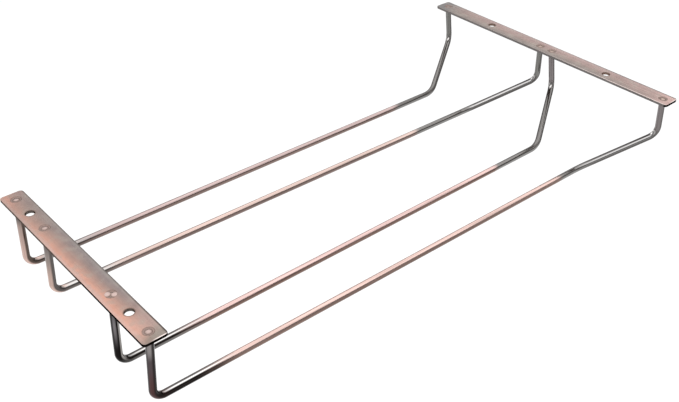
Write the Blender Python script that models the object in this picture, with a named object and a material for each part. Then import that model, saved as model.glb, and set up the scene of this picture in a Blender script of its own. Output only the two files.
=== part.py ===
"""Hanging wine glass rack: two flat strips, four bent rods and a ring weld at each rod end.

Metres, +Z up. The strips' top faces lie on z = 0, against the shelf that they are screwed to.
X runs along the strips. Y runs along the rods, from the flared entry (front, -Y) to the
closed end (rear). The origin is the centre of the rear strip's top face.
"""

import math

import bmesh
import bpy
from mathutils import Vector

# Mounting strips
STRIP_SPACING = 0.438
STRIP_WIDTH = 0.016
STRIP_THICKNESS = 0.0020
STRIP_CORNER_RADIUS = 0.0025
STRIP_EDGE_ROUND = 0.0003
REAR_END_MARGIN = 0.0083
FRONT_END_MARGIN = 0.0079
SCREW_HOLE_DIAMETER = 0.006

# Channels for the glass stems, rod centre to rod centre, and how far apart they lie
CHANNEL_WIDTH = 0.0382
CHANNEL_WIDENING = 0.0047
ENTRY_WIDTH = 0.1064
INNER_BEND_GAP = 0.0166
INNER_WELD_GAP = 0.0124
REAR_SPLAY = 0.0022
ENTRY_SPLAY = 0.0025

# Rods
ROD_DIAMETER = 0.005
REAR_DEPTH = 0.0520
KINK_DEPTH = 0.0587
ENTRY_DEPTH = 0.0331
REAR_LEAN = 0.0030
ENTRY_LEAN = 0.0037
FLARE_LENGTH = 0.0500
STUB_BELOW_STRIP = 0.0015
TIP_RECESS = 0.0001
REAR_BEND_RADIUS = 0.0075
KINK_BEND_RADIUS = 0.0250
ENTRY_BEND_RADIUS = 0.0100
STUB_BEND_RADIUS = 0.0060

# Ring welds, each in a countersunk hole round its rod's end
FIT_GAP = 0.0003
WELD_TOP_WIDTH = 0.00095
WELD_FOOT_WIDTH = 0.0003
WELD_SEAT_THICKNESS = 0.0003
WELD_EDGE_DROP = 0.0002
WELD_CROWN_DROP = 0.00007

# Cuts run past the faces that they open, and points closer than the merge distance join
OVERRUN = 0.002
MERGE_DISTANCE = 0.000003

# Facets
CIRCLE_SIDES = 32
CORNER_STEPS = 6
RIM_SEGMENTS = 2
ROD_BEVEL_RESOLUTION = 6
BEND_STEP = math.radians(9)
SHARP_ANGLE = math.radians(30)
RIM_ANGLE = math.radians(60)

# Base colour and roughness of the plated finishes
STRIP_FINISH = ((0.56, 0.33, 0.26, 1), 0.36)
ROD_FINISH = ((0.42, 0.31, 0.28, 1), 0.20)
WELD_FINISH = ((0.50, 0.32, 0.27, 1), 0.40)

# Sizes worked out from those above
REAR_WELD_SPACING = CHANNEL_WIDTH + REAR_SPLAY
KINK_SPACING = CHANNEL_WIDTH + CHANNEL_WIDENING
CHANNEL_PITCH = ENTRY_WIDTH + INNER_BEND_GAP
ENTRY_WELD_SPACING = ENTRY_WIDTH + ENTRY_SPLAY
ENTRY_WELD_PITCH = ENTRY_WELD_SPACING + INNER_WELD_GAP
REAR_STRIP_LENGTH = CHANNEL_PITCH + REAR_WELD_SPACING + 2 * REAR_END_MARGIN
FRONT_STRIP_LENGTH = ENTRY_WELD_PITCH + ENTRY_WELD_SPACING + 2 * FRONT_END_MARGIN
ROD_RADIUS = ROD_DIAMETER / 2
HOLE_RADIUS = ROD_RADIUS + FIT_GAP
WELD_FOOT_RADIUS = HOLE_RADIUS + WELD_FOOT_WIDTH
WELD_TOP_RADIUS = HOLE_RADIUS + WELD_TOP_WIDTH
WELD_DEPTH = STRIP_THICKNESS - WELD_SEAT_THICKNESS - FIT_GAP
WELD_SLOPE = (WELD_TOP_RADIUS - WELD_FOOT_RADIUS) / WELD_DEPTH


def metal(name, finish):
    base_color, roughness = finish
    material = bpy.data.materials.new(name)
    material.use_nodes = True
    shader = material.node_tree.nodes["Principled BSDF"]
    shader.inputs["Base Color"].default_value = base_color
    shader.inputs["Metallic"].default_value = 1
    shader.inputs["Roughness"].default_value = roughness
    material.diffuse_color = base_color
    return material


def add_object(name, data, place, parent=None):
    part = bpy.data.objects.new(name, data)
    part.location = place
    part.parent = parent
    bpy.context.scene.collection.objects.link(part)
    return part


def smooth(mesh):
    mesh.shade_smooth()
    mesh.set_sharp_from_angle(angle=SHARP_ANGLE)


def turned(bm, profile, centre_x=0):
    """Adds a body turned about the vertical through centre_x from (radius, z) points."""
    points = [bm.verts.new((centre_x + radius, 0, z)) for radius, z in profile]
    edges = [bm.edges.new(pair) for pair in zip(points, points[1:])]
    if profile[0][0] > 0:
        edges.append(bm.edges.new((points[-1], points[0])))
    bmesh.ops.spin(
        bm,
        geom=points + edges,
        cent=(centre_x, 0, 0),
        axis=(0, 0, 1),
        angle=math.tau,
        steps=CIRCLE_SIDES,
        use_merge=True,
    )


def mesh_from(bm, name):
    bmesh.ops.remove_doubles(bm, verts=bm.verts, dist=MERGE_DISTANCE)
    bmesh.ops.recalc_face_normals(bm, faces=bm.faces)
    mesh = bpy.data.meshes.new(name)
    bm.to_mesh(mesh)
    bm.free()
    return mesh


def weld_mesh():
    """A ring bead: conical outside, straight bore, low crown just under the strip's top face."""
    edge_radius = WELD_TOP_RADIUS - WELD_SLOPE * WELD_EDGE_DROP
    crown_half = (edge_radius - HOLE_RADIUS) / 4
    crown_radius = (edge_radius + HOLE_RADIUS) / 2
    profile = [
        (HOLE_RADIUS, -WELD_DEPTH),
        (WELD_FOOT_RADIUS, -WELD_DEPTH),
        (edge_radius, -WELD_EDGE_DROP),
        (crown_radius + crown_half, -WELD_CROWN_DROP),
        (crown_radius - crown_half, -WELD_CROWN_DROP),
        (HOLE_RADIUS, -WELD_EDGE_DROP),
    ]
    bm = bmesh.new()
    turned(bm, profile)
    mesh = mesh_from(bm, "ring_weld")
    smooth(mesh)
    return mesh


def weld_hole_profile():
    """The hole under a ring weld: a cone one fit gap outside the bead, then the rod's hole."""
    gap = FIT_GAP * math.sqrt(1 + WELD_SLOPE * WELD_SLOPE)
    top_radius = WELD_TOP_RADIUS + gap
    seat_depth = WELD_DEPTH + FIT_GAP
    seat_radius = top_radius - WELD_SLOPE * seat_depth
    bottom = -STRIP_THICKNESS - OVERRUN
    return [
        (0, bottom),
        (HOLE_RADIUS, bottom),
        (HOLE_RADIUS, -seat_depth),
        (seat_radius, -seat_depth),
        (top_radius, 0),
        (top_radius, OVERRUN),
        (0, OVERRUN),
    ]


def screw_hole_profile():
    radius = SCREW_HOLE_DIAMETER / 2
    bottom = -STRIP_THICKNESS - OVERRUN
    return [(0, bottom), (radius, bottom), (radius, OVERRUN), (0, OVERRUN)]


def plate_outline(length):
    """Corners of a strip as arcs, counter-clockwise."""
    points = []
    for quarter in range(4):
        start = quarter * math.pi / 2
        middle = start + math.pi / 4
        x_side = math.copysign(1, math.cos(middle))
        y_side = math.copysign(1, math.sin(middle))
        centre_x = x_side * (length / 2 - STRIP_CORNER_RADIUS)
        centre_y = y_side * (STRIP_WIDTH / 2 - STRIP_CORNER_RADIUS)
        for step in range(CORNER_STEPS + 1):
            angle = start + step / CORNER_STEPS * math.pi / 2
            x = centre_x + STRIP_CORNER_RADIUS * math.cos(angle)
            y = centre_y + STRIP_CORNER_RADIUS * math.sin(angle)
            points.append((x, y))
    return points


def make_strip(name, length, y, weld_places, material, parent):
    """A flat strip with rounded corners, two screw holes and four countersunk rod holes."""
    bm = bmesh.new()
    outline = [bm.verts.new((along, across, 0)) for along, across in plate_outline(length)]
    top = bm.faces.new(outline)
    sides = bmesh.ops.extrude_face_region(bm, geom=[top])["geom"]
    lowered = [item for item in sides if isinstance(item, bmesh.types.BMVert)]
    bmesh.ops.translate(bm, verts=lowered, vec=(0, 0, -STRIP_THICKNESS))
    strip = add_object(name, mesh_from(bm, name), (0, y, 0), parent)
    strip.data.materials.append(material)

    bm = bmesh.new()
    for side in (-1, 1):
        turned(bm, screw_hole_profile(), side * CHANNEL_PITCH / 2)
    for weld_x in weld_places:
        turned(bm, weld_hole_profile(), weld_x)
    cutter = add_object(name + "_cutter", mesh_from(bm, name + "_cutter"), (0, y, 0), parent)
    cutter.hide_render = True
    cutter.display_type = "WIRE"

    bevel = strip.modifiers.new("Rounded rim", "BEVEL")
    bevel.width = STRIP_EDGE_ROUND
    bevel.segments = RIM_SEGMENTS
    bevel.limit_method = "ANGLE"
    bevel.angle_limit = RIM_ANGLE
    holes = strip.modifiers.new("Holes", "BOOLEAN")
    holes.operation = "DIFFERENCE"
    holes.object = cutter
    smooth(strip.data)


def rod_places(pitch, spacing):
    """The four rods' x, from the left, where the channels are pitch apart and spacing wide."""
    return [side * pitch / 2 + edge * spacing / 2 for side in (-1, 1) for edge in (-1, 1)]


def rounded_path(corners, radii):
    """Points along straight runs joined by arcs of the given radii at the inner corners."""
    points = [corners[0]]
    for before, corner, after, radius in zip(corners, corners[1:], corners[2:], radii):
        inward = (corner - before).normalized()
        outward = (after - corner).normalized()
        turn = inward.angle(outward)
        tangent = radius * math.tan(turn / 2)
        start = corner - inward * tangent
        across = (outward - inward * math.cos(turn)).normalized()
        centre = start + across * radius
        steps = max(2, math.ceil(turn / BEND_STEP))
        for step in range(steps + 1):
            angle = turn * step / steps
            points.append(centre - across * radius * math.cos(angle) + inward * radius * math.sin(angle))
    points.append(corners[-1])
    return points


def rod_curve(number):
    """The rod of that number from the left, from its rear weld to its entry weld."""
    stub_depth = STRIP_THICKNESS + STUB_BELOW_STRIP
    rear_x = rod_places(CHANNEL_PITCH, REAR_WELD_SPACING)[number]
    rear_bend_x = rod_places(CHANNEL_PITCH, CHANNEL_WIDTH)[number]
    kink_x = rod_places(CHANNEL_PITCH, KINK_SPACING)[number]
    entry_bend_x = rod_places(CHANNEL_PITCH, ENTRY_WIDTH)[number]
    entry_x = rod_places(ENTRY_WELD_PITCH, ENTRY_WELD_SPACING)[number]
    corners = [
        Vector((rear_x, 0, -TIP_RECESS)),
        Vector((rear_x, 0, -stub_depth)),
        Vector((rear_bend_x, REAR_LEAN, -REAR_DEPTH)),
        Vector((kink_x, FLARE_LENGTH - STRIP_SPACING, -KINK_DEPTH)),
        Vector((entry_bend_x, -STRIP_SPACING - ENTRY_LEAN, -ENTRY_DEPTH)),
        Vector((entry_x, -STRIP_SPACING, -stub_depth)),
        Vector((entry_x, -STRIP_SPACING, -TIP_RECESS)),
    ]
    radii = [STUB_BEND_RADIUS, REAR_BEND_RADIUS, KINK_BEND_RADIUS, ENTRY_BEND_RADIUS, STUB_BEND_RADIUS]
    points = rounded_path(corners, radii)
    curve = bpy.data.curves.new("rod", "CURVE")
    curve.dimensions = "3D"
    spline = curve.splines.new("POLY")
    spline.points.add(len(points) - 1)
    for target, point in zip(spline.points, points):
        target.co = (*point, 1)
    curve.bevel_depth = ROD_RADIUS
    curve.bevel_resolution = ROD_BEVEL_RESOLUTION
    curve.use_fill_caps = True
    return curve


def make_rods(material, parent):
    names = ("left_outer_rod", "left_inner_rod", "right_inner_rod", "right_outer_rod")
    for number, name in enumerate(names):
        curve = rod_curve(number)
        curve.materials.append(material)
        add_object(name, curve, (0, 0, 0), parent)


def make_welds(prefix, y, weld_places, mesh, parent):
    """The ring welds of one strip, numbered from the left."""
    for number, x in enumerate(weld_places, start=1):
        add_object(f"{prefix}_weld_{number}", mesh, (x, y, 0), parent)


def build():
    for old in list(bpy.data.objects):
        bpy.data.objects.remove(old, do_unlink=True)
    rack = add_object("rack", None, (0, 0, 0))
    strip_metal = metal("strip_plating", STRIP_FINISH)
    rod_metal = metal("rod_plating", ROD_FINISH)
    weld_metal = metal("weld_plating", WELD_FINISH)
    bead = weld_mesh()
    bead.materials.append(weld_metal)

    rear_welds = rod_places(CHANNEL_PITCH, REAR_WELD_SPACING)
    entry_welds = rod_places(ENTRY_WELD_PITCH, ENTRY_WELD_SPACING)
    make_strip("rear_strip", REAR_STRIP_LENGTH, 0, rear_welds, strip_metal, rack)
    make_strip("front_strip", FRONT_STRIP_LENGTH, -STRIP_SPACING, entry_welds, strip_metal, rack)
    make_rods(rod_metal, rack)
    make_welds("rear", 0, rear_welds, bead, rack)
    make_welds("front", -STRIP_SPACING, entry_welds, bead, rack)


build()
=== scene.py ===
"""A hanging wine glass rack: two flat strips, four bent rods and a ring weld at each rod end."""

import math

import bmesh
import bpy
from mathutils import Matrix, Vector


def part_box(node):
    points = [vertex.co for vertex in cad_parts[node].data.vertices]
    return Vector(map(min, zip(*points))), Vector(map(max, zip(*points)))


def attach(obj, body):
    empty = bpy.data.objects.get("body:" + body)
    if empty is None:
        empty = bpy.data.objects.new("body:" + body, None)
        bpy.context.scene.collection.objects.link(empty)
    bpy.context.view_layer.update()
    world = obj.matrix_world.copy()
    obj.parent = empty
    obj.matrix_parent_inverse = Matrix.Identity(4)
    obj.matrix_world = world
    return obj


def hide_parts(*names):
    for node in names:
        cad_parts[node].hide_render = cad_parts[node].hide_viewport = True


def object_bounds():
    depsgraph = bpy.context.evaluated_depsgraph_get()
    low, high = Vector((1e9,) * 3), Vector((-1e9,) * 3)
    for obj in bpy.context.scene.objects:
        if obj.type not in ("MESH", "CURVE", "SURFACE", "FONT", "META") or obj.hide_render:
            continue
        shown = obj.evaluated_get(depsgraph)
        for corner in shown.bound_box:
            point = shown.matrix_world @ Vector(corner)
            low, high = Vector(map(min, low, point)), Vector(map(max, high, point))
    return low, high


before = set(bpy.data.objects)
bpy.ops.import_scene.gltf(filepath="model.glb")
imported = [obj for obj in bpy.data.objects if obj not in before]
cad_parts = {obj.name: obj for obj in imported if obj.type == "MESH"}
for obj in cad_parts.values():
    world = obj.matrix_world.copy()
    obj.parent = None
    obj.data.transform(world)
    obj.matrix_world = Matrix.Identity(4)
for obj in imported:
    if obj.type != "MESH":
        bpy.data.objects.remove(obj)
cad_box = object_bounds()


# Mounting strips. The real ones are 16 x 2 mm mild steel flat, cut to length with rounded
# corners, and punched for two shelf screws and for the four rod ends. They are copper plated,
# blackened, and brushed back lengthwise, so copper shows where the belt pressed and grey where not.
STRIP_CORNER_RADIUS = 0.0025
CORNER_STEPS = 10
STRIP_RIM = 0.0003
RIM_ANGLE = 1.0
SCREW_HOLE_RADIUS = 0.003
HOLE_SIDES = 64
HOLE_RIM = 0.00015
HOLE_RIM_ANGLE = 0.7
HOLE_CELL = 0.0045
RIM_STEPS = 4
WELD_DISH_RADIUS = 0.0037
WELD_DISH_FOOT = 0.0026
WELD_DISH_DEPTH = 0.0004
DISH_LAP = 0.0001
MERGE_DISTANCE = 0.00002
STRIP_SMOOTH_ANGLE = math.radians(25)


def pick(kind, test):
    """Selects the vertices, edges or faces of the open mesh that pass the test, and no others."""
    bpy.ops.mesh.select_mode(type=kind)
    bpy.ops.mesh.select_all(action="DESELECT")
    mesh = bpy.context.edit_object.data
    shape = bmesh.from_edit_mesh(mesh)
    shape.normal_update()
    for part in {"VERT": shape.verts, "EDGE": shape.edges, "FACE": shape.faces}[kind]:
        part.select_set(test(part))
    shape.select_flush_mode()
    bmesh.update_edit_mesh(mesh)


def punch(strip, cutter):
    """Takes the cutter's shape out of the strip, as a punch does."""
    bpy.context.view_layer.objects.active = strip
    bpy.ops.object.modifier_add(type="BOOLEAN")
    hole = strip.modifiers[-1]
    hole.operation = "DIFFERENCE"
    hole.solver = "EXACT"
    hole.object = cutter
    bpy.ops.object.modifier_apply(modifier=hole.name)
    bpy.data.objects.remove(cutter)


def middle_y(node):
    """The y of a node's middle line."""
    low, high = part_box(node)
    return (low.y + high.y) / 2


def cut_strip(name, node, weld_places, screw_places):
    """A strip in the place and size of its node, with its corners, holes and rims."""
    low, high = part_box(node)
    size = high - low
    y = middle_y(node)
    bpy.ops.object.select_all(action="DESELECT")
    bpy.ops.mesh.primitive_cube_add(size=1, location=(low + high) / 2, scale=size)
    strip = bpy.context.object
    strip.name = name
    bpy.ops.object.transform_apply(location=True, rotation=True, scale=True)
    bpy.ops.object.mode_set(mode="EDIT")
    pick("EDGE", lambda edge: abs(edge.verts[0].co.z - edge.verts[1].co.z) > size.z / 2)
    bpy.ops.mesh.bevel(offset=STRIP_CORNER_RADIUS, segments=CORNER_STEPS, affect="EDGES")
    for x in (*weld_places, *screw_places):
        for side in (-1, 1):
            bpy.ops.mesh.select_all(action="SELECT")
            bpy.ops.mesh.bisect(plane_co=(x + side * HOLE_CELL, y, 0), plane_no=(1, 0, 0))
    bpy.ops.object.mode_set(mode="OBJECT")

    for x in (*screw_places, *weld_places):
        bpy.ops.mesh.primitive_cylinder_add(
            vertices=HOLE_SIDES,
            radius=WELD_DISH_FOOT if x in weld_places else SCREW_HOLE_RADIUS,
            depth=4 * size.z,
            location=(x, y, 0),
        )
        punch(strip, bpy.context.object)
        if x in weld_places:
            bpy.ops.mesh.primitive_cone_add(
                vertices=HOLE_SIDES,
                radius1=WELD_DISH_FOOT - DISH_LAP,
                radius2=2 * WELD_DISH_RADIUS - WELD_DISH_FOOT + DISH_LAP,
                depth=2 * WELD_DISH_DEPTH,
                location=(x, y, 0),
            )
            punch(strip, bpy.context.object)

    holes = [Vector((x, y, 0)) for x in (*weld_places, *screw_places)]

    def near_hole(edge):
        middle = (edge.verts[0].co + edge.verts[1].co) / 2
        return any((middle - hole).xy.length < HOLE_CELL for hole in holes)

    def bent(edge, angle):
        return edge.is_manifold and edge.calc_face_angle() > angle

    bpy.context.view_layer.objects.active = strip
    bpy.ops.object.mode_set(mode="EDIT")
    bpy.ops.mesh.select_all(action="SELECT")
    bpy.ops.mesh.remove_doubles(threshold=MERGE_DISTANCE)
    bpy.ops.mesh.dissolve_degenerate(threshold=MERGE_DISTANCE)
    pick("EDGE", lambda edge: bent(edge, RIM_ANGLE) and not near_hole(edge))
    bpy.ops.mesh.bevel(offset=STRIP_RIM, segments=RIM_STEPS, affect="EDGES")
    pick("EDGE", lambda edge: bent(edge, HOLE_RIM_ANGLE) and near_hole(edge))
    bpy.ops.mesh.bevel(offset=HOLE_RIM, segments=RIM_STEPS, affect="EDGES")
    bpy.ops.object.mode_set(mode="OBJECT")
    bpy.ops.object.shade_smooth_by_angle(angle=STRIP_SMOOTH_ANGLE)
    bpy.ops.object.modifier_add(type="WEIGHTED_NORMAL")
    strip.modifiers[-1].keep_sharp = True
    bpy.ops.object.modifier_apply(modifier=strip.modifiers[-1].name)
    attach(strip, "root")
    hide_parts(node)
    return strip


def places_of(prefix):
    """The x of the four ring welds on one strip, from the left."""
    return [sum(corner.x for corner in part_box(f"{prefix}_weld_{n}")) / 2 for n in (1, 2, 3, 4)]


rear_places = places_of("rear")
front_places = places_of("front")
screw_places = [(rear_places[0] + rear_places[1]) / 2, (rear_places[2] + rear_places[3]) / 2]
rear_strip = cut_strip("rear_flat_strip", "rear_strip", rear_places, screw_places)
front_strip = cut_strip("front_flat_strip", "front_strip", front_places, screw_places)

# The patterns' scales are in waves to the metre: belt lines 22 mm long and 0.3 mm apart, passes
# of the belt 71 mm long and 1.1 mm apart, clouds 17 mm across and stains 8 mm across.
BELT_LINES = (45, 3300, 45)
BELT_PASSES = (14, 900, 14)
STRIP_CLOUDS = 60
STRIP_STAINS = 130


def colour(code):
    """A colour written as sRGB hex, as the linear values that a shader takes."""
    shares = [int(code[start:start + 2], 16) / 255 for start in (1, 3, 5)]
    return (*[s / 12.92 if s <= 0.04045 else ((s + 0.055) / 1.055) ** 2.4 for s in shares], 1)


def add_node(tree, kind, inputs, **settings):
    """Adds a node with its settings. An input is a value, a socket, or a node for its first result."""
    node = tree.nodes.new(kind)
    for name, value in settings.items():
        setattr(node, name, value)
    for socket, value in inputs.items():
        if isinstance(value, bpy.types.Node):
            value = next(output for output in value.outputs if output.enabled)
        if isinstance(value, bpy.types.NodeSocket):
            tree.links.new(value, node.inputs[socket])
        else:
            node.inputs[socket].default_value = value
    return node


def new_metal(name):
    """An empty metal finish: its node tree, its shader and the object's own coordinates."""
    material = bpy.data.materials.new(name)
    material.use_nodes = True
    tree = material.node_tree
    shader = tree.nodes["Principled BSDF"]
    shader.inputs["Metallic"].default_value = 1
    place = add_node(tree, "ShaderNodeTexCoord", {}).outputs["Object"]
    return material, tree, shader, place


def brushed_plating_with_painted_light(name, node, tones, veils, finish):
    """Brushed antique copper plate, toned from the strip's -Y edge to its +Y edge. The veils lie
    over that from the rack's -X side to its +X side, each as thick as its last number says.

    The belt leaves fine lengthwise lines, drawn 0.3 mm apart, because a real grit's 0.1 mm is too fine
    to show. The rims are lighter, as wear and as a painted highlight, brightest at the -X end. The
    dished hollows keep the blackening, and the -Y rim, the screw holes, the sides, the ends and the
    underside carry painted shade, in their colour and in their reflections.
    """
    metal, tree, shader, place = new_metal(name)
    axes = add_node(tree, "ShaderNodeSeparateXYZ", {"Vector": place})
    x_place = axes.outputs["X"]
    marked = finish["marked"]
    low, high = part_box(node)
    end_x = high.x
    rack_end = cad_box[1].x

    clouds = add_node(
        tree, "ShaderNodeTexNoise", {"Vector": place, "Scale": STRIP_CLOUDS, "Detail": 4}
    )
    ramps = {}
    for axis, start, end, wander, stops in (
        ("X", -rack_end, rack_end, 0.10, veils),
        ("Y", low.y, high.y, 0.25, tones),
    ):
        share = add_node(
            tree,
            "ShaderNodeMapRange",
            {
                "Value": axes.outputs[axis],
                "From Min": start,
                "From Max": end,
                "To Min": -wander / 2,
                "To Max": 1 - wander / 2,
            },
        )
        share = add_node(
            tree, "ShaderNodeMath", {0: clouds, 1: wander, 2: share}, operation="MULTIPLY_ADD"
        )
        ramps[axis] = add_node(tree, "ShaderNodeValToRGB", {"Fac": share})
        elements = ramps[axis].color_ramp.elements
        for number, (position, code, *thickness) in enumerate(stops):
            between = 0 < number < len(stops) - 1
            stop = elements.new(position) if between else elements[-1 if number else 0]
            stop.position = position
            stop.color = (*colour(code)[:3], *(thickness or (1,)))

    lines = add_node(tree, "ShaderNodeMapping", {"Vector": place, "Scale": BELT_LINES})
    grain = add_node(tree, "ShaderNodeTexNoise", {"Vector": lines, "Scale": 1, "Detail": 4})
    passes = add_node(tree, "ShaderNodeMapping", {"Vector": place, "Scale": BELT_PASSES})
    band = add_node(tree, "ShaderNodeTexNoise", {"Vector": passes, "Scale": 1, "Detail": 2})
    stains = add_node(
        tree, "ShaderNodeTexNoise", {"Vector": place, "Scale": STRIP_STAINS, "Detail": 3}
    )
    strength = 1
    for pattern, least, most in (
        (grain, 1 - 0.16 * marked, 1 + 0.08 * marked),
        (band, 1 - 0.12 * marked, 1 + 0.14 * marked),
        (stains, 0.90, 1.10),
    ):
        share = add_node(
            tree,
            "ShaderNodeMapRange",
            {"Value": pattern, "From Min": 0.3, "From Max": 0.7, "To Min": least, "To Max": most},
        )
        strength = add_node(tree, "ShaderNodeMath", {0: share, 1: strength}, operation="MULTIPLY")

    normal = add_node(tree, "ShaderNodeNewGeometry", {}).outputs["Normal"]
    facing = add_node(tree, "ShaderNodeSeparateXYZ", {"Vector": normal})
    upward = facing.outputs["Z"]
    across = add_node(
        tree, "ShaderNodeMath", {0: axes.outputs["Y"], 1: middle_y(node)}, operation="SUBTRACT"
    )
    off_line = add_node(tree, "ShaderNodeMath", {0: across}, operation="ABSOLUTE")
    off_centre = add_node(tree, "ShaderNodeMath", {0: x_place}, operation="ABSOLUTE")
    off_screw = add_node(
        tree, "ShaderNodeMath", {0: off_centre, 1: screw_places[1]}, operation="SUBTRACT"
    )
    from_screw = add_node(tree, "ShaderNodeCombineXYZ", {"X": off_screw, "Y": across})
    from_screw = add_node(
        tree, "ShaderNodeVectorMath", {0: from_screw}, operation="LENGTH"
    ).outputs["Value"]

    # A mask grows from 0, where its value is the first number, to its last number or the mask
    # named there, where its value is the second. Places are in metres, facings in unit normals.
    masks = {}
    for mask, value, start, full, most in (
        ("stained", stains, 0.50, 0.66, 0.4),
        ("hollow", upward, 0.998, 0.95, 0.5),
        # Rims sloping away from the top get a painted highlight.
        ("rim_highlight", upward, 0.99, 0.93, 0.6),
        # Sides, ends and hole walls, and below them the underside, carry painted shade.
        ("shade_on_walls", upward, 0.93, 0.78, 1),
        ("below", upward, -0.60, -0.90, 1),
        ("end_face", facing.outputs["X"], -0.05, -0.30, 1),
        # A painted shade ring round each screw hole.
        ("hole_shade_ring", from_screw, 0.0041, 0.0032, 0.65),
        ("in_bore", from_screw, 0.0034, 0.0031, 1),
        ("long_rim", off_line, 0.0066, 0.0072, 1),
        ("end_rim", off_centre, end_x - 0.0016, end_x - 0.0010, 1),
        ("end_middle", across, 0.004, -0.002, 0.8),
        ("end_wear_and_highlight", x_place, 0.0011 - end_x, 0.0005 - end_x, "end_middle"),
        ("left_part", x_place, 0.02, -0.09, finish["rim_wear_and_highlight"]),
        ("rim_wear_and_highlight", across, 0.0058, 0.0072, "left_part"),
        # A painted shade line along the -Y rim, strongest towards the -X end.
        ("painted_shade_line", across, -0.0066, -0.0078, 0.6),
        ("left_end", x_place, 0, -0.08, 0.8),
        ("painted_shade_end", across, -0.0056, -0.0074, "left_end"),
        ("right_part", x_place, -0.035, -0.005, 1),
    ):
        masks[mask] = add_node(
            tree,
            "ShaderNodeMapRange",
            {"Value": value, "From Min": start, "From Max": full, "To Max": masks.get(most, most)},
            interpolation_type="SMOOTHSTEP",
        )
    for mask, first, second in (
        ("at_rim", "long_rim", "end_rim"),
        ("painted_shade_rim", "painted_shade_line", "painted_shade_end"),
    ):
        masks[mask] = add_node(
            tree, "ShaderNodeMath", {0: masks[first], 1: masks[second]}, operation="MAXIMUM"
        )

    toned = ramps["Y"].outputs["Color"]
    for share, tone in (
        (ramps["X"].outputs["Alpha"], ramps["X"].outputs["Color"]),
        (masks["stained"], colour(finish["patina"])),
    ):
        toned = add_node(
            tree, "ShaderNodeMix", {0: share, 6: toned, 7: tone}, data_type="RGBA"
        ).outputs[2]
    brushed = add_node(
        tree, "ShaderNodeVectorMath", {0: toned, "Scale": strength}, operation="SCALE"
    ).outputs["Vector"]

    # A layer is its first tone where its mask is 0, and its second where it is 1.
    layers = {"brushed": brushed}
    for layer, mask, first, second in (
        ("dished", "hollow", "brushed", "#6a5851"),
        ("dished", "hole_shade_ring", "dished", "#5b4a42"),
        # Painted highlight on the rims, white where they face -X; the +Y rim and the -X end add wear
        # and more painted highlight.
        ("bright", "end_face", "#dcc7be", "#fff6f2"),
        ("rimmed", "rim_highlight", "brushed", "bright"),
        # Painted shade along the -Y rim.
        ("rimmed", "painted_shade_rim", "rimmed", "#3b3533"),
        ("rimmed", "rim_wear_and_highlight", "rimmed", "#e8d6d0"),
        ("rimmed", "end_wear_and_highlight", "rimmed", "#f7e9e4"),
        # Painted shade on the sides, black on the rear strip's -X part and at the -X end, and on the
        # hole walls.
        ("side", "right_part", finish["left_side"], finish["right_side"]),
        ("painted_wall_shade", "end_face", "side", "#15110f"),
        ("painted_wall_shade", "in_bore", "painted_wall_shade", finish["bore"]),
        ("plated", "at_rim", "dished", "rimmed"),
        ("plated", "shade_on_walls", "plated", "painted_wall_shade"),
        # Painted shade on the underside.
        ("underside", 0.6, "brushed", "#3a322f"),
        ("plated", "below", "plated", "underside"),
        # The reflections on the walls and ends are darkened too, as painted shade.
        ("tint", "end_face", "side", "#1c1816"),
        ("tint", "in_bore", "tint", finish["bore"]),
        ("tint", "shade_on_walls", "#ffffff", "tint"),
        ("tint", "below", "tint", "#ffffff"),
    ):
        sides = [layers[side] if side in layers else colour(side) for side in (first, second)]
        layers[layer] = add_node(
            tree,
            "ShaderNodeMix",
            {0: masks.get(mask, mask), 6: sides[0], 7: sides[1]},
            data_type="RGBA",
        ).outputs[2]

    rough = add_node(
        tree, "ShaderNodeMapRange", {"Value": grain, "To Min": 0.22, "To Max": 0.38}
    )
    scratch = add_node(
        tree, "ShaderNodeBump", {"Height": grain, "Strength": 0.25, "Distance": 0.00003}
    )
    tree.links.new(layers["plated"], shader.inputs["Base Color"])
    tree.links.new(layers["tint"], shader.inputs["Specular Tint"])
    tree.links.new(rough.outputs["Result"], shader.inputs["Roughness"])
    tree.links.new(scratch.outputs["Normal"], shader.inputs["Normal"])
    return metal


# Tones stand from 0 at the strip's -Y edge to 1 at its +Y edge, and veils from 0 at the rack's -X side
# to 1 at its +X side. A finish says how strongly the belt marked the plate, its patina, how much the
# +Y rim is worn and carries a painted highlight at the -X end, the painted shade on the +Y side at
# either end, and that in the screw holes.
STRIP_TONES = {
    "rear": [
        (0.06, "#86807d"),
        (0.19, "#807574"),
        (0.34, "#887873"),
        (0.50, "#987d74"),
        (0.66, "#aa8679"),
        (0.81, "#be8e7d"),
        (0.94, "#bb9a90"),
    ],
    "front": [
        (0.06, "#b8a4a1"),
        (0.19, "#b49b97"),
        (0.50, "#a9928c"),
        (0.66, "#a09089"),
        (0.81, "#968a85"),
        (0.94, "#8e8681"),
    ],
}
STRIP_VEILS = {
    "rear": [
        (0.14, "#81776f", 0.85),
        (0.20, "#c59f93", 0.40),
        (0.27, "#c99a88", 0.15),
        (0.36, "#b09088", 0.05),
        (0.55, "#a08c84", 0.05),
        (0.78, "#94837c", 0.50),
        (0.86, "#ad8b82", 0.40),
    ],
    "front": [
        (0.02, "#ccada6", 0.90),
        (0.10, "#b79c96", 0.50),
        (0.30, "#a9928c", 0.10),
        (0.70, "#a9928c", 0.10),
        (0.88, "#94837c", 0.35),
        (0.97, "#7d7b7a", 0.85),
    ],
}
STRIP_FINISHES = {
    "rear": {
        "marked": 0.25, "patina": "#8b837b", "rim_wear_and_highlight": 0,
        "left_side": "#15110f", "right_side": "#877f7b", "bore": "#5d544f",
    },
    "front": {
        "marked": 1.0, "patina": "#9f988f", "rim_wear_and_highlight": 0.7,
        "left_side": "#767170", "right_side": "#767170", "bore": "#7e685e",
    },
}
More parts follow.
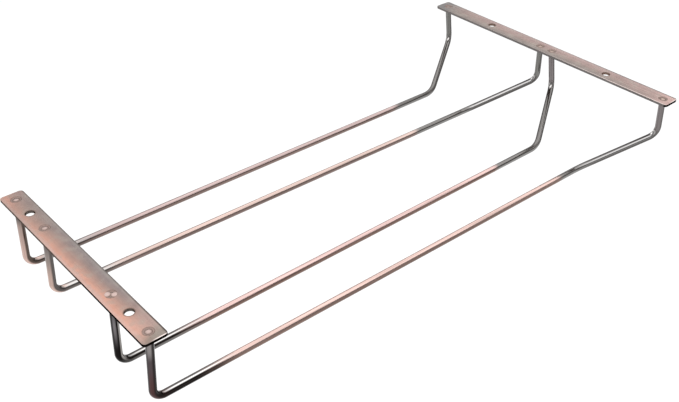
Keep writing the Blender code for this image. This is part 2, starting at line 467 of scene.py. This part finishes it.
for end, strip in (("rear", rear_strip), ("front", front_strip)):
    metal = brushed_plating_with_painted_light(
        f"brushed_antique_copper_{end}",
        f"{end}_strip",
        STRIP_TONES[end],
        STRIP_VEILS[end],
        STRIP_FINISHES[end],
    )
    strip.data.materials.clear()
    strip.data.materials.append(metal)


# Rods. The real ones are four lengths of 5 mm round steel, each bent cold: a leg down from the
# rear strip, a long run, a slight kink where the channel flares, and a leg up to the front strip.
# They are copper plated, blackened and relieved to a gloss, which leaves the ends dark; the undersides
# and the legs' sides are painted darker as shade, and the rear runs and bends carry painted
# highlights.
ROD_RADIUS = 0.0025
ROD_SIDES = 40
BEND_RADII = (0.0060, 0.0075, 0.0250, 0.0100, 0.0060)
BEND_STEP = math.radians(5)
ROD_SMOOTH_ANGLE = math.radians(40)
ROD_TIP = -0.0003
TIP_ROUND = 0.0003
TIP_ROUND_STEPS = 3
TIP_RING = 0.0005
TIP_CROWN = (0.00008, 0.00006, 0.00004, 0.00002)

# A rod's straight centre lines meet at these places: the stub's foot is a z on the strip's middle
# line, and the others are y and z. The channels are as wide at those three as the last line says,
# from rod centre to rod centre.
STUB_FOOT = -0.0035
REAR_FOOT = (0.0030, -0.0520)
KINK = (-0.3880, -0.0587)
ENTRY_BEND = (-0.4417, -0.0331)
CHANNEL_WIDTHS = (0.0382, 0.0429, 0.1064)


def bend_rod(name, node, rear_x, foot_x, kink_x, entry_x, front_x):
    """A round bar drawn from its rear tip, straight run by straight run and bend by bend."""
    corners = [
        Vector((rear_x, middle_y("rear_strip"), ROD_TIP)),
        Vector((rear_x, middle_y("rear_strip"), STUB_FOOT)),
        Vector((foot_x, *REAR_FOOT)),
        Vector((kink_x, *KINK)),
        Vector((entry_x, *ENTRY_BEND)),
        Vector((front_x, middle_y("front_strip"), STUB_FOOT)),
        Vector((front_x, middle_y("front_strip"), ROD_TIP)),
    ]
    bpy.ops.object.select_all(action="DESELECT")
    bpy.ops.mesh.primitive_circle_add(
        vertices=ROD_SIDES, radius=ROD_RADIUS, fill_type="NGON", location=corners[0]
    )
    rod = bpy.context.object
    rod.name = name
    bpy.ops.object.transform_apply(location=True, rotation=True, scale=True)
    bpy.ops.object.mode_set(mode="EDIT")
    bpy.ops.mesh.select_mode(type="FACE")
    bpy.ops.mesh.select_all(action="SELECT")
    reached = corners[0]
    for before, corner, after, radius in zip(corners, corners[1:], corners[2:], BEND_RADII):
        inward = (corner - before).normalized()
        outward = (after - corner).normalized()
        turn = inward.angle(outward)
        start = corner - inward * radius * math.tan(turn / 2)
        centre = start + (outward - inward * math.cos(turn)).normalized() * radius
        bpy.ops.mesh.extrude_region_move(TRANSFORM_OT_translate={"value": start - reached})
        bpy.ops.mesh.spin(
            steps=max(2, math.ceil(turn / BEND_STEP)),
            angle=turn,
            center=centre,
            axis=outward.cross(inward).normalized(),
        )
        reached = corner + outward * radius * math.tan(turn / 2)
    bpy.ops.mesh.extrude_region_move(TRANSFORM_OT_translate={"value": corners[-1] - reached})
    bpy.ops.mesh.select_all(action="SELECT")
    bpy.ops.mesh.normals_make_consistent(inside=False)
    pick("FACE", lambda face: len(face.verts) == ROD_SIDES)
    bpy.ops.mesh.bevel(offset=TIP_ROUND, segments=TIP_ROUND_STEPS, affect="EDGES")
    pick("FACE", lambda face: len(face.verts) == ROD_SIDES)
    for rise in TIP_CROWN:
        bpy.ops.mesh.inset(thickness=TIP_RING, depth=rise)
    bpy.ops.object.mode_set(mode="OBJECT")
    bpy.ops.object.shade_smooth_by_angle(angle=ROD_SMOOTH_ANGLE)
    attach(rod, "root")
    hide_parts(node)
    return rod


# In waves to the metre again: clouds 11 mm across, mottle 2 mm across, and drawn streaks 71 mm long.
# Round the rod the streaks follow the normal, so besides the drawn lines they stand for painted
# reflection streaks. The clouds move the tones along the rod by up to the wander, in metres.
ROD_CLOUDS = 90
ROD_MOTTLE = 420
STREAKS_ALONG = (14, 14, 14)
STREAKS_ROUND = (2.5, 2.5, 2.5)
TONE_WANDER = 0.016
# The side facing this way is painted darker, as shade.
SHADED_SIDE = (-0.66, -0.75, 0)


def relieved_plating_with_painted_light(name, finish):
    """Antique copper on bright drawn steel. The tones follow the rod from its rear leg to its flare.

    Between the two places of its span the top is relieved to satin copper. Towards the ends it is
    glossy and grey. The runs' and flares' undersides, the sides facing +X and the sides of the legs
    are painted darker as shade, the front run's underside is lighter as a painted reflection, the rear
    runs carry a painted highlight stripe, and the entry bends a painted glint.
    """
    metal, tree, shader, place = new_metal(name)
    axes = add_node(tree, "ShaderNodeSeparateXYZ", {"Vector": place})
    height = axes.outputs["Z"]
    clouds = add_node(
        tree, "ShaderNodeTexNoise", {"Vector": place, "Scale": ROD_CLOUDS, "Detail": 3}
    )
    along = add_node(
        tree,
        "ShaderNodeMath",
        {0: clouds, 1: TONE_WANDER, 2: axes.outputs["Y"]},
        operation="MULTIPLY_ADD",
    )
    normal = add_node(tree, "ShaderNodeNewGeometry", {}).outputs["Normal"]
    facing = add_node(tree, "ShaderNodeSeparateXYZ", {"Vector": normal})
    upward = facing.outputs["Z"]
    # How far the normal faces the side that is painted darker.
    relieved = add_node(
        tree, "ShaderNodeVectorMath", {0: normal, 1: SHADED_SIDE}, operation="DOT_PRODUCT"
    ).outputs["Value"]
    off_ridge = add_node(
        tree, "ShaderNodeMath", {0: relieved, 1: finish["ridge"]}, operation="SUBTRACT"
    )
    off_ridge = add_node(tree, "ShaderNodeMath", {0: off_ridge}, operation="ABSOLUTE")
    span_start, span_end = finish["span"]

    # A mask grows from 0, where its value is the first number, to 1, where it is the second.
    masks = {}
    for mask, value, start, full in (
        ("past_kink", along, -0.376, -0.388),
        ("past_front", along, span_start + 0.008, span_start + 0.020),
        ("past_rear", along, span_end - 0.012, span_end + 0.024),
        ("in_leg", along, -0.004, 0.010),
        ("in_foot", height, -0.021, -0.041),
        ("in_head", height, -0.022, -0.012),
        # Where the painted glint on the entry bend begins.
        ("in_bend_glint", height, -0.0332, -0.0318),
        ("in_entry", height, -0.0302, -0.0284),
        ("in_tip", height, -0.0015, -0.0009),
        # The facing masks below place painted shade, painted highlights and painted reflections.
        ("under", upward, 0.62, 0.36),
        ("under_rear", upward, *finish["stripe"]),
        ("under_low", upward, 0.50, 0.25),
        ("under_flare", upward, 0.42, 0.12),
        ("off_crown", upward, 0.9992, 0.985),
        ("beyond", facing.outputs["X"], -0.35, -0.10),
        ("aside_rear", off_ridge, *finish["fall"]),
        ("edge_rear", relieved, 0.68, 0.90),
        ("aside_front", relieved, 0.25, 0.70),
    ):
        masks[mask] = add_node(
            tree,
            "ShaderNodeMapRange",
            {"Value": value, "From Min": start, "From Max": full},
            interpolation_type="SMOOTHSTEP",
        )

    # A layer is its first tone where its mask is 0, and its second where it is 1.
    layers = {}
    for layer, mask, first, second in (
        # Undersides and the +X sides are painted shade, the front run's lighter underside a painted
        # reflection, and the rear run's top a painted highlight stripe.
        ("copper_run", "under", finish["copper"], finish["belly"]),
        ("front_run", "under", finish["front"], "#8b8987"),
        ("rear_top", "beyond", finish["rear"], finish["beyond"]),
        ("rear_belly", "under_low", finish["dark"], finish["underside"]),
        ("rear_run", "under_rear", "rear_top", "rear_belly"),
        ("run", "past_front", "front_run", "copper_run"),
        ("run", "past_rear", "run", "rear_run"),
        # Head is painted shade under the strip; shadow and edge on the legs' sides are painted shade,
        # on the left inner rod's far side a painted reflection.
        ("leg", "in_head", finish["leg"], finish["head"]),
        ("leg", "in_foot", "leg", finish["foot"]),
        ("leg_side", "edge_rear", finish["shadow"], finish["edge"]),
        ("leg", "aside_rear", "leg", "leg_side"),
        ("flare", "beyond", finish["flare"], finish["flare_edge"]),
        # Painted shade under the flare, and a painted glint on the entry bend.
        ("flare", "under_flare", "flare", "#5d5a58"),
        ("painted_bend_glint", "under_flare", finish["glint"], "#6d6a68"),
        ("entry", "in_bend_glint", "flare", "painted_bend_glint"),
        ("entry", "in_entry", "entry", finish["entry_leg"]),
        # Painted shade on the entry leg's side.
        ("entry", "aside_front", "entry", "#524e4d"),
        ("plated", "in_leg", "run", "leg"),
        ("plated", "past_kink", "plated", "entry"),
        ("end_tip", "past_kink", "#b39e98", finish["tip"]),
        # The tip's crown is painted lighter and its falling edge darker, as highlight and shade.
        ("end_tip", "off_crown", "end_tip", "#84716a"),
    ):
        sides = [layers[side] if side in layers else colour(side) for side in (first, second)]
        layers[layer] = add_node(
            tree,
            "ShaderNodeMix",
            {0: masks[mask], 6: sides[0], 7: sides[1]},
            data_type="RGBA",
        ).outputs[2]

    around = add_node(
        tree, "ShaderNodeVectorMath", {0: normal, 1: STREAKS_ROUND}, operation="MULTIPLY"
    )
    lengthwise = add_node(
        tree, "ShaderNodeVectorMath", {0: place, 1: STREAKS_ALONG}, operation="MULTIPLY"
    )
    drawn = add_node(tree, "ShaderNodeVectorMath", {0: around, 1: lengthwise}, operation="ADD")
    streak = add_node(tree, "ShaderNodeTexNoise", {"Vector": drawn, "Scale": 1, "Detail": 3})
    shade = add_node(
        tree,
        "ShaderNodeMapRange",
        {"Value": streak, "From Min": 0.35, "From Max": 0.65, "To Min": 0.76, "To Max": 1.12},
    )
    streaked = add_node(
        tree, "ShaderNodeVectorMath", {0: layers["plated"], "Scale": shade}, operation="SCALE"
    ).outputs["Vector"]
    tone = add_node(
        tree,
        "ShaderNodeMix",
        {0: masks["in_tip"], 6: streaked, 7: layers["end_tip"]},
        data_type="RGBA",
    ).outputs[2]
    tree.links.new(tone, shader.inputs["Base Color"])

    mottle = add_node(
        tree, "ShaderNodeTexNoise", {"Vector": place, "Scale": ROD_MOTTLE, "Detail": 3}
    )
    gloss = 0.10
    for mask, least in (("past_front", 0.20), ("past_rear", 0.08), ("in_tip", 0.26)):
        gloss = add_node(
            tree, "ShaderNodeMapRange", {"Value": masks[mask], "To Min": gloss, "To Max": least}
        )
    rough = add_node(
        tree, "ShaderNodeMath", {0: mottle, 1: 0.08, 2: gloss}, operation="MULTIPLY_ADD"
    )
    tree.links.new(rough.outputs["Value"], shader.inputs["Roughness"])
    skin = add_node(
        tree, "ShaderNodeBump", {"Height": streak, "Strength": 0.1, "Distance": 0.00003}
    )
    tree.links.new(skin.outputs["Normal"], shader.inputs["Normal"])
    return metal


# Each rod's finish, zone by zone from its rear leg to its front tip. Span is where its copper starts
# and ends (m), and stripe how steep the rear run may fall before its painted highlight (rear) turns to
# painted shade. Ridge and fall place the painted shade (shadow) on the rear leg's sides; edge is the
# far side's tone, painted shade, and on the left inner rod a painted reflection; head is painted shade
# under the strip. Beyond and flare_edge face +X and are painted shade. Belly is the copper run's
# underside, and dark and underside are the rear run's, all painted shade. Glint is a painted highlight
# at the entry bend.
FINISHES = {
    "right_outer_rod": {
        "span": (-0.347, -0.040), "stripe": (0.62, 0.36), "ridge": -0.6, "fall": (0.85, 1.30),
        "head": "#6c6866", "leg": "#b5a098", "foot": "#d0b3a9", "shadow": "#5b4f48", "edge": "#5b4f48",
        "rear": "#b5afad", "beyond": "#7e7a77", "dark": "#2f2927", "underside": "#6b615d",
        "copper": "#b9a4a1", "belly": "#88756f", "front": "#6e6b69",
        "flare": "#83817f", "flare_edge": "#74716f", "glint": "#cfccca",
        "entry_leg": "#7b7a77", "tip": "#928883",
    },
    "right_inner_rod": {
        "span": (-0.331, -0.040), "stripe": (0.62, 0.36), "ridge": -0.6, "fall": (0.85, 1.30),
        "head": "#777170", "leg": "#9a8f8a", "foot": "#cdb2a7", "shadow": "#5f5957", "edge": "#5f5957",
        "rear": "#c5c1bf", "beyond": "#7b7674", "dark": "#262120", "underside": "#6f6865",
        "copper": "#cab3ab", "belly": "#877570", "front": "#7d7a78",
        "flare": "#bcbab9", "flare_edge": "#5a5756", "glint": "#f6f3f1",
        "entry_leg": "#7b7a77", "tip": "#b09c91",
    },
    "left_inner_rod": {
        "span": (-0.342, -0.047), "stripe": (0.92, 0.78), "ridge": 0.05, "fall": (0.15, 0.60),
        "head": "#5c5a5c", "leg": "#777375", "foot": "#1b1818", "shadow": "#151211", "edge": "#96928f",
        "rear": "#e4e2e0", "beyond": "#5d5957", "dark": "#35302e", "underside": "#7c7977",
        "copper": "#d1b4af", "belly": "#826a61", "front": "#7d7a78",
        "flare": "#83817f", "flare_edge": "#74716f", "glint": "#cfccca",
        "entry_leg": "#7e7878", "tip": "#b09c91",
    },
    "left_outer_rod": {
        "span": (-0.368, -0.041), "stripe": (0.92, 0.78), "ridge": 0.0, "fall": (0.25, 0.80),
        "head": "#868180", "leg": "#50484a", "foot": "#543c3c", "shadow": "#1e1919", "edge": "#1e1919",
        "rear": "#f0eeec", "beyond": "#625e5c", "dark": "#3a3534", "underside": "#1e1a19",
        "copper": "#d2b6ae", "belly": "#826c64", "front": "#7d7a78",
        "flare": "#bcbab9", "flare_edge": "#5a5756", "glint": "#f6f3f1",
        "entry_leg": "#7e7878", "tip": "#bca599",
    },
}
for number, (node, finish) in zip((4, 3, 2, 1), FINISHES.items()):
    side = 1 if number % 2 == 0 else -1
    channel = screw_places[(number - 1) // 2]
    bends = [channel + side * width / 2 for width in CHANNEL_WIDTHS]
    rod = bend_rod(
        node.replace("_rod", "_bent_rod"),
        node,
        rear_places[number - 1],
        *bends,
        front_places[number - 1],
    )
    rod.data.materials.append(relieved_plating_with_painted_light(f"relieved_antique_copper_{node}", finish))


# Ring welds. Each rod end is welded into the dished hole in its strip and ground just under
# flush with the belt. Oxide stays in the low ring, so it is darker than the tip inside it. The
# rear strip's second rod was tacked before it was welded: two low beads show on its ring.
WELD_RADIUS = 0.0029
BEAD_RADIUS = 0.0008
BEAD_SIDES = 16
BEAD_FLATNESS = 0.35
BEAD_DROP = 0.00036
BEAD_UNEVENNESS = 0.00004
RING_STEPS = 48
RING_SMOOTH_ANGLE = math.radians(60)
RING_MERGE_DISTANCE = 0.000002
WELD_MOTTLE = 900

# A tack's place is its x from the rod and its y from the strip's middle line, then its radius.
TACKED_WELD = ("rear", 2)
TACKS = ((0.0015, 0.0019, 0.0026), (-0.0015, -0.0015, 0.0025))
TACK_RISE = 0.0002
TACK_SIDES = 40
TACK_RINGS = 24

weld_metal, tree, shader, place = new_metal("brushed_ground_weld")
mottle = add_node(tree, "ShaderNodeTexNoise", {"Vector": place, "Scale": WELD_MOTTLE, "Detail": 3})
tone = add_node(
    tree,
    "ShaderNodeMix",
    {0: mottle, 6: colour("#816d66"), 7: colour("#9a857e")},
    data_type="RGBA",
)
tree.links.new(tone.outputs[2], shader.inputs["Base Color"])
rough = add_node(
    tree, "ShaderNodeMapRange", {"Value": mottle, "To Min": 0.25, "To Max": 0.45}
)
tree.links.new(rough.outputs["Result"], shader.inputs["Roughness"])
pits = add_node(
    tree, "ShaderNodeBump", {"Height": mottle, "Strength": 0.3, "Distance": 0.00005}
)
tree.links.new(pits.outputs["Normal"], shader.inputs["Normal"])

tack_metal, tree, shader, place = new_metal("tack_bead_painted_highlight")
normal = add_node(tree, "ShaderNodeNewGeometry", {}).outputs["Normal"]
facing = add_node(tree, "ShaderNodeSeparateXYZ", {"Vector": normal})
# Painted highlight on each tack's crown, painted shade on its slopes.
slope = add_node(
    tree,
    "ShaderNodeMapRange",
    {"Value": facing.outputs["Z"], "From Min": 0.9995, "From Max": 0.992},
)
tone = add_node(
    tree,
    "ShaderNodeMix",
    {0: slope, 6: colour("#bba59f"), 7: colour("#7a675f")},
    data_type="RGBA",
)
tree.links.new(tone.outputs[2], shader.inputs["Base Color"])
mottle = add_node(tree, "ShaderNodeTexNoise", {"Vector": place, "Scale": WELD_MOTTLE, "Detail": 3})
rough = add_node(
    tree, "ShaderNodeMapRange", {"Value": mottle, "To Min": 0.2, "To Max": 0.4}
)
tree.links.new(rough.outputs["Result"], shader.inputs["Roughness"])

bpy.ops.object.select_all(action="DESELECT")
bpy.ops.mesh.primitive_circle_add(
    vertices=BEAD_SIDES,
    radius=BEAD_RADIUS,
    location=(WELD_RADIUS, 0, 0),
    rotation=(math.pi / 2, 0, 0),
)
bead = bpy.context.object
bead.name = "ring_weld_bead"
bpy.ops.object.transform_apply(location=True, rotation=True, scale=True)
bpy.ops.object.mode_set(mode="EDIT")
bpy.ops.mesh.select_all(action="SELECT")
bpy.ops.transform.resize(value=(1, 1, BEAD_FLATNESS), center_override=(WELD_RADIUS, 0, 0))
bpy.ops.transform.translate(value=(0, 0, -BEAD_DROP))
bpy.ops.mesh.spin(steps=RING_STEPS, angle=math.tau, center=(0, 0, 0), axis=(0, 0, 1))
bpy.ops.mesh.select_all(action="SELECT")
bpy.ops.mesh.remove_doubles(threshold=RING_MERGE_DISTANCE)
bpy.ops.mesh.normals_make_consistent(inside=False)
bpy.ops.object.mode_set(mode="OBJECT")
bpy.ops.object.shade_smooth_by_angle(angle=RING_SMOOTH_ANGLE)
bead.data.materials.append(weld_metal)

for end, places in (("rear", rear_places), ("front", front_places)):
    for number, x in enumerate(places, start=1):
        ring = bead.copy()
        ring.data = bead.data.copy()
        ring.name = f"{end}_ring_weld_{number}"
        bpy.context.scene.collection.objects.link(ring)
        bpy.ops.object.select_all(action="DESELECT")
        ring.select_set(True)
        bpy.context.view_layer.objects.active = ring
        y = middle_y(f"{end}_strip")
        ring.location = (x, y, 0)
        bpy.ops.object.transform_apply(location=True, rotation=True, scale=True)
        bpy.ops.object.mode_set(mode="EDIT")
        bpy.ops.mesh.select_all(action="SELECT")
        bpy.ops.transform.vertex_random(offset=BEAD_UNEVENNESS, seed=number + len(end))
        bpy.ops.object.mode_set(mode="OBJECT")
        for tack_x, tack_y, radius in TACKS if (end, number) == TACKED_WELD else ():
            bpy.ops.mesh.primitive_uv_sphere_add(
                segments=TACK_SIDES,
                ring_count=TACK_RINGS,
                radius=radius,
                location=(x + tack_x, y + tack_y, -TACK_RISE),
            )
            tack = bpy.context.object
            tack.scale = (1, 1, TACK_RISE / radius)
            bpy.ops.object.transform_apply(location=True, rotation=True, scale=True)
            bpy.ops.object.shade_smooth()
            tack.data.materials.append(tack_metal)
            bpy.ops.object.select_all(action="DESELECT")
            tack.select_set(True)
            ring.select_set(True)
            bpy.context.view_layer.objects.active = ring
            bpy.ops.object.join()
        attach(ring, "root")
        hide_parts(f"{end}_weld_{number}")
bpy.data.objects.remove(bead)


# Floor. A plain white sheet well below the rack, as wide as any view of it. To the camera and in
# the metal it is white, and it takes the rack's shadow as grey paper does.
FLOOR_RADIUS = 30
FLOOR_SIDES = 96
FLOOR_PLACE = (0, -0.22, -1.1)
PAPER_WHITENESS = 0.92
bpy.ops.mesh.primitive_circle_add(
    vertices=FLOOR_SIDES, radius=FLOOR_RADIUS, fill_type="NGON", location=FLOOR_PLACE
)
floor = bpy.context.object
floor.name = "floor"
paper = bpy.data.materials.new("white_paper")
paper.use_nodes = True
tree = paper.node_tree
tree.nodes.clear()
rays = add_node(tree, "ShaderNodeLightPath", {})
seen = rays.outputs["Is Camera Ray"]
for ray in ("Is Glossy Ray", "Is Transmission Ray"):
    seen = add_node(tree, "ShaderNodeMath", {0: seen, 1: rays.outputs[ray]}, operation="MAXIMUM")
sheet = add_node(tree, "ShaderNodeBsdfDiffuse", {"Color": colour("#898989")})
level = add_node(tree, "ShaderNodeMath", {0: seen, 1: PAPER_WHITENESS}, operation="MULTIPLY")
white = add_node(tree, "ShaderNodeEmission", {"Color": (1, 1, 1, 1), "Strength": level})
both = add_node(tree, "ShaderNodeAddShader", {0: sheet, 1: white})
add_node(tree, "ShaderNodeOutputMaterial", {"Surface": both})
floor.data.materials.append(paper)


# Light. One wide soft box overhead, and a grey room round it, white where it meets the floor. To
# the camera the room is white all over, as a cut-out photograph's background is.
SOFT_BOX_PLACE = (0.4, -0.8, 1.0)
SOFT_BOX_SIZE = 3.0
SOFT_BOX_LEVEL = 1.35
ROOM_GREY = 0.25
bpy.ops.object.light_add(type="AREA", location=SOFT_BOX_PLACE)
soft_box = bpy.context.object
soft_box.data.shape = "RECTANGLE"
soft_box.data.size = SOFT_BOX_SIZE
soft_box.data.size_y = SOFT_BOX_SIZE
soft_box.data.energy = SOFT_BOX_LEVEL * math.pi * SOFT_BOX_SIZE ** 2
soft_box.visible_camera = False

room = bpy.data.worlds.new("room")
bpy.context.scene.world = room
room.use_nodes = True
tree = room.node_tree
direction = add_node(tree, "ShaderNodeTexCoord", {}).outputs["Generated"]
height = add_node(tree, "ShaderNodeSeparateXYZ", {"Vector": direction}).outputs["Z"]
wall = add_node(
    tree,
    "ShaderNodeMapRange",
    {"Value": height, "From Min": 0.02, "From Max": 0.22, "To Min": 1, "To Max": ROOM_GREY},
    interpolation_type="SMOOTHSTEP",
)
rays = add_node(tree, "ShaderNodeLightPath", {})
backdrop = add_node(
    tree, "ShaderNodeMath", {0: wall, 1: rays.outputs["Is Camera Ray"]}, operation="MAXIMUM"
)
tree.links.new(backdrop.outputs["Value"], tree.nodes["Background"].inputs["Color"])


# Camera, at the photograph's viewing angle. Its right is squared to the way it looks.
CAMERA_PLACE = (-0.4313, 0.1631, 0.3487)
CAMERA_AHEAD = (0.6093, -0.5416, -0.5791)
CAMERA_RIGHT = (-0.6599, -0.7513, 0.0083)
SENSOR_WIDTH = 36
LENS = 49.27
SHIFT_X = -0.0204
SHIFT_Y = 0.0039
ahead = Vector(CAMERA_AHEAD).normalized()
right = Vector(CAMERA_RIGHT)
right = (right - ahead * right.dot(ahead)).normalized()
up = right.cross(ahead)
bpy.ops.object.camera_add()
camera = bpy.context.object
turned = Matrix((right, up, -ahead)).transposed().to_4x4()
camera.matrix_world = Matrix.Translation(CAMERA_PLACE) @ turned
camera.data.sensor_width = SENSOR_WIDTH
camera.data.lens = LENS
camera.data.shift_x = SHIFT_X
camera.data.shift_y = SHIFT_Y
camera.data.clip_start = 0.01
camera.data.clip_end = 100
bpy.context.scene.camera = camera
bpy.context.scene.view_settings.view_transform = "Standard"
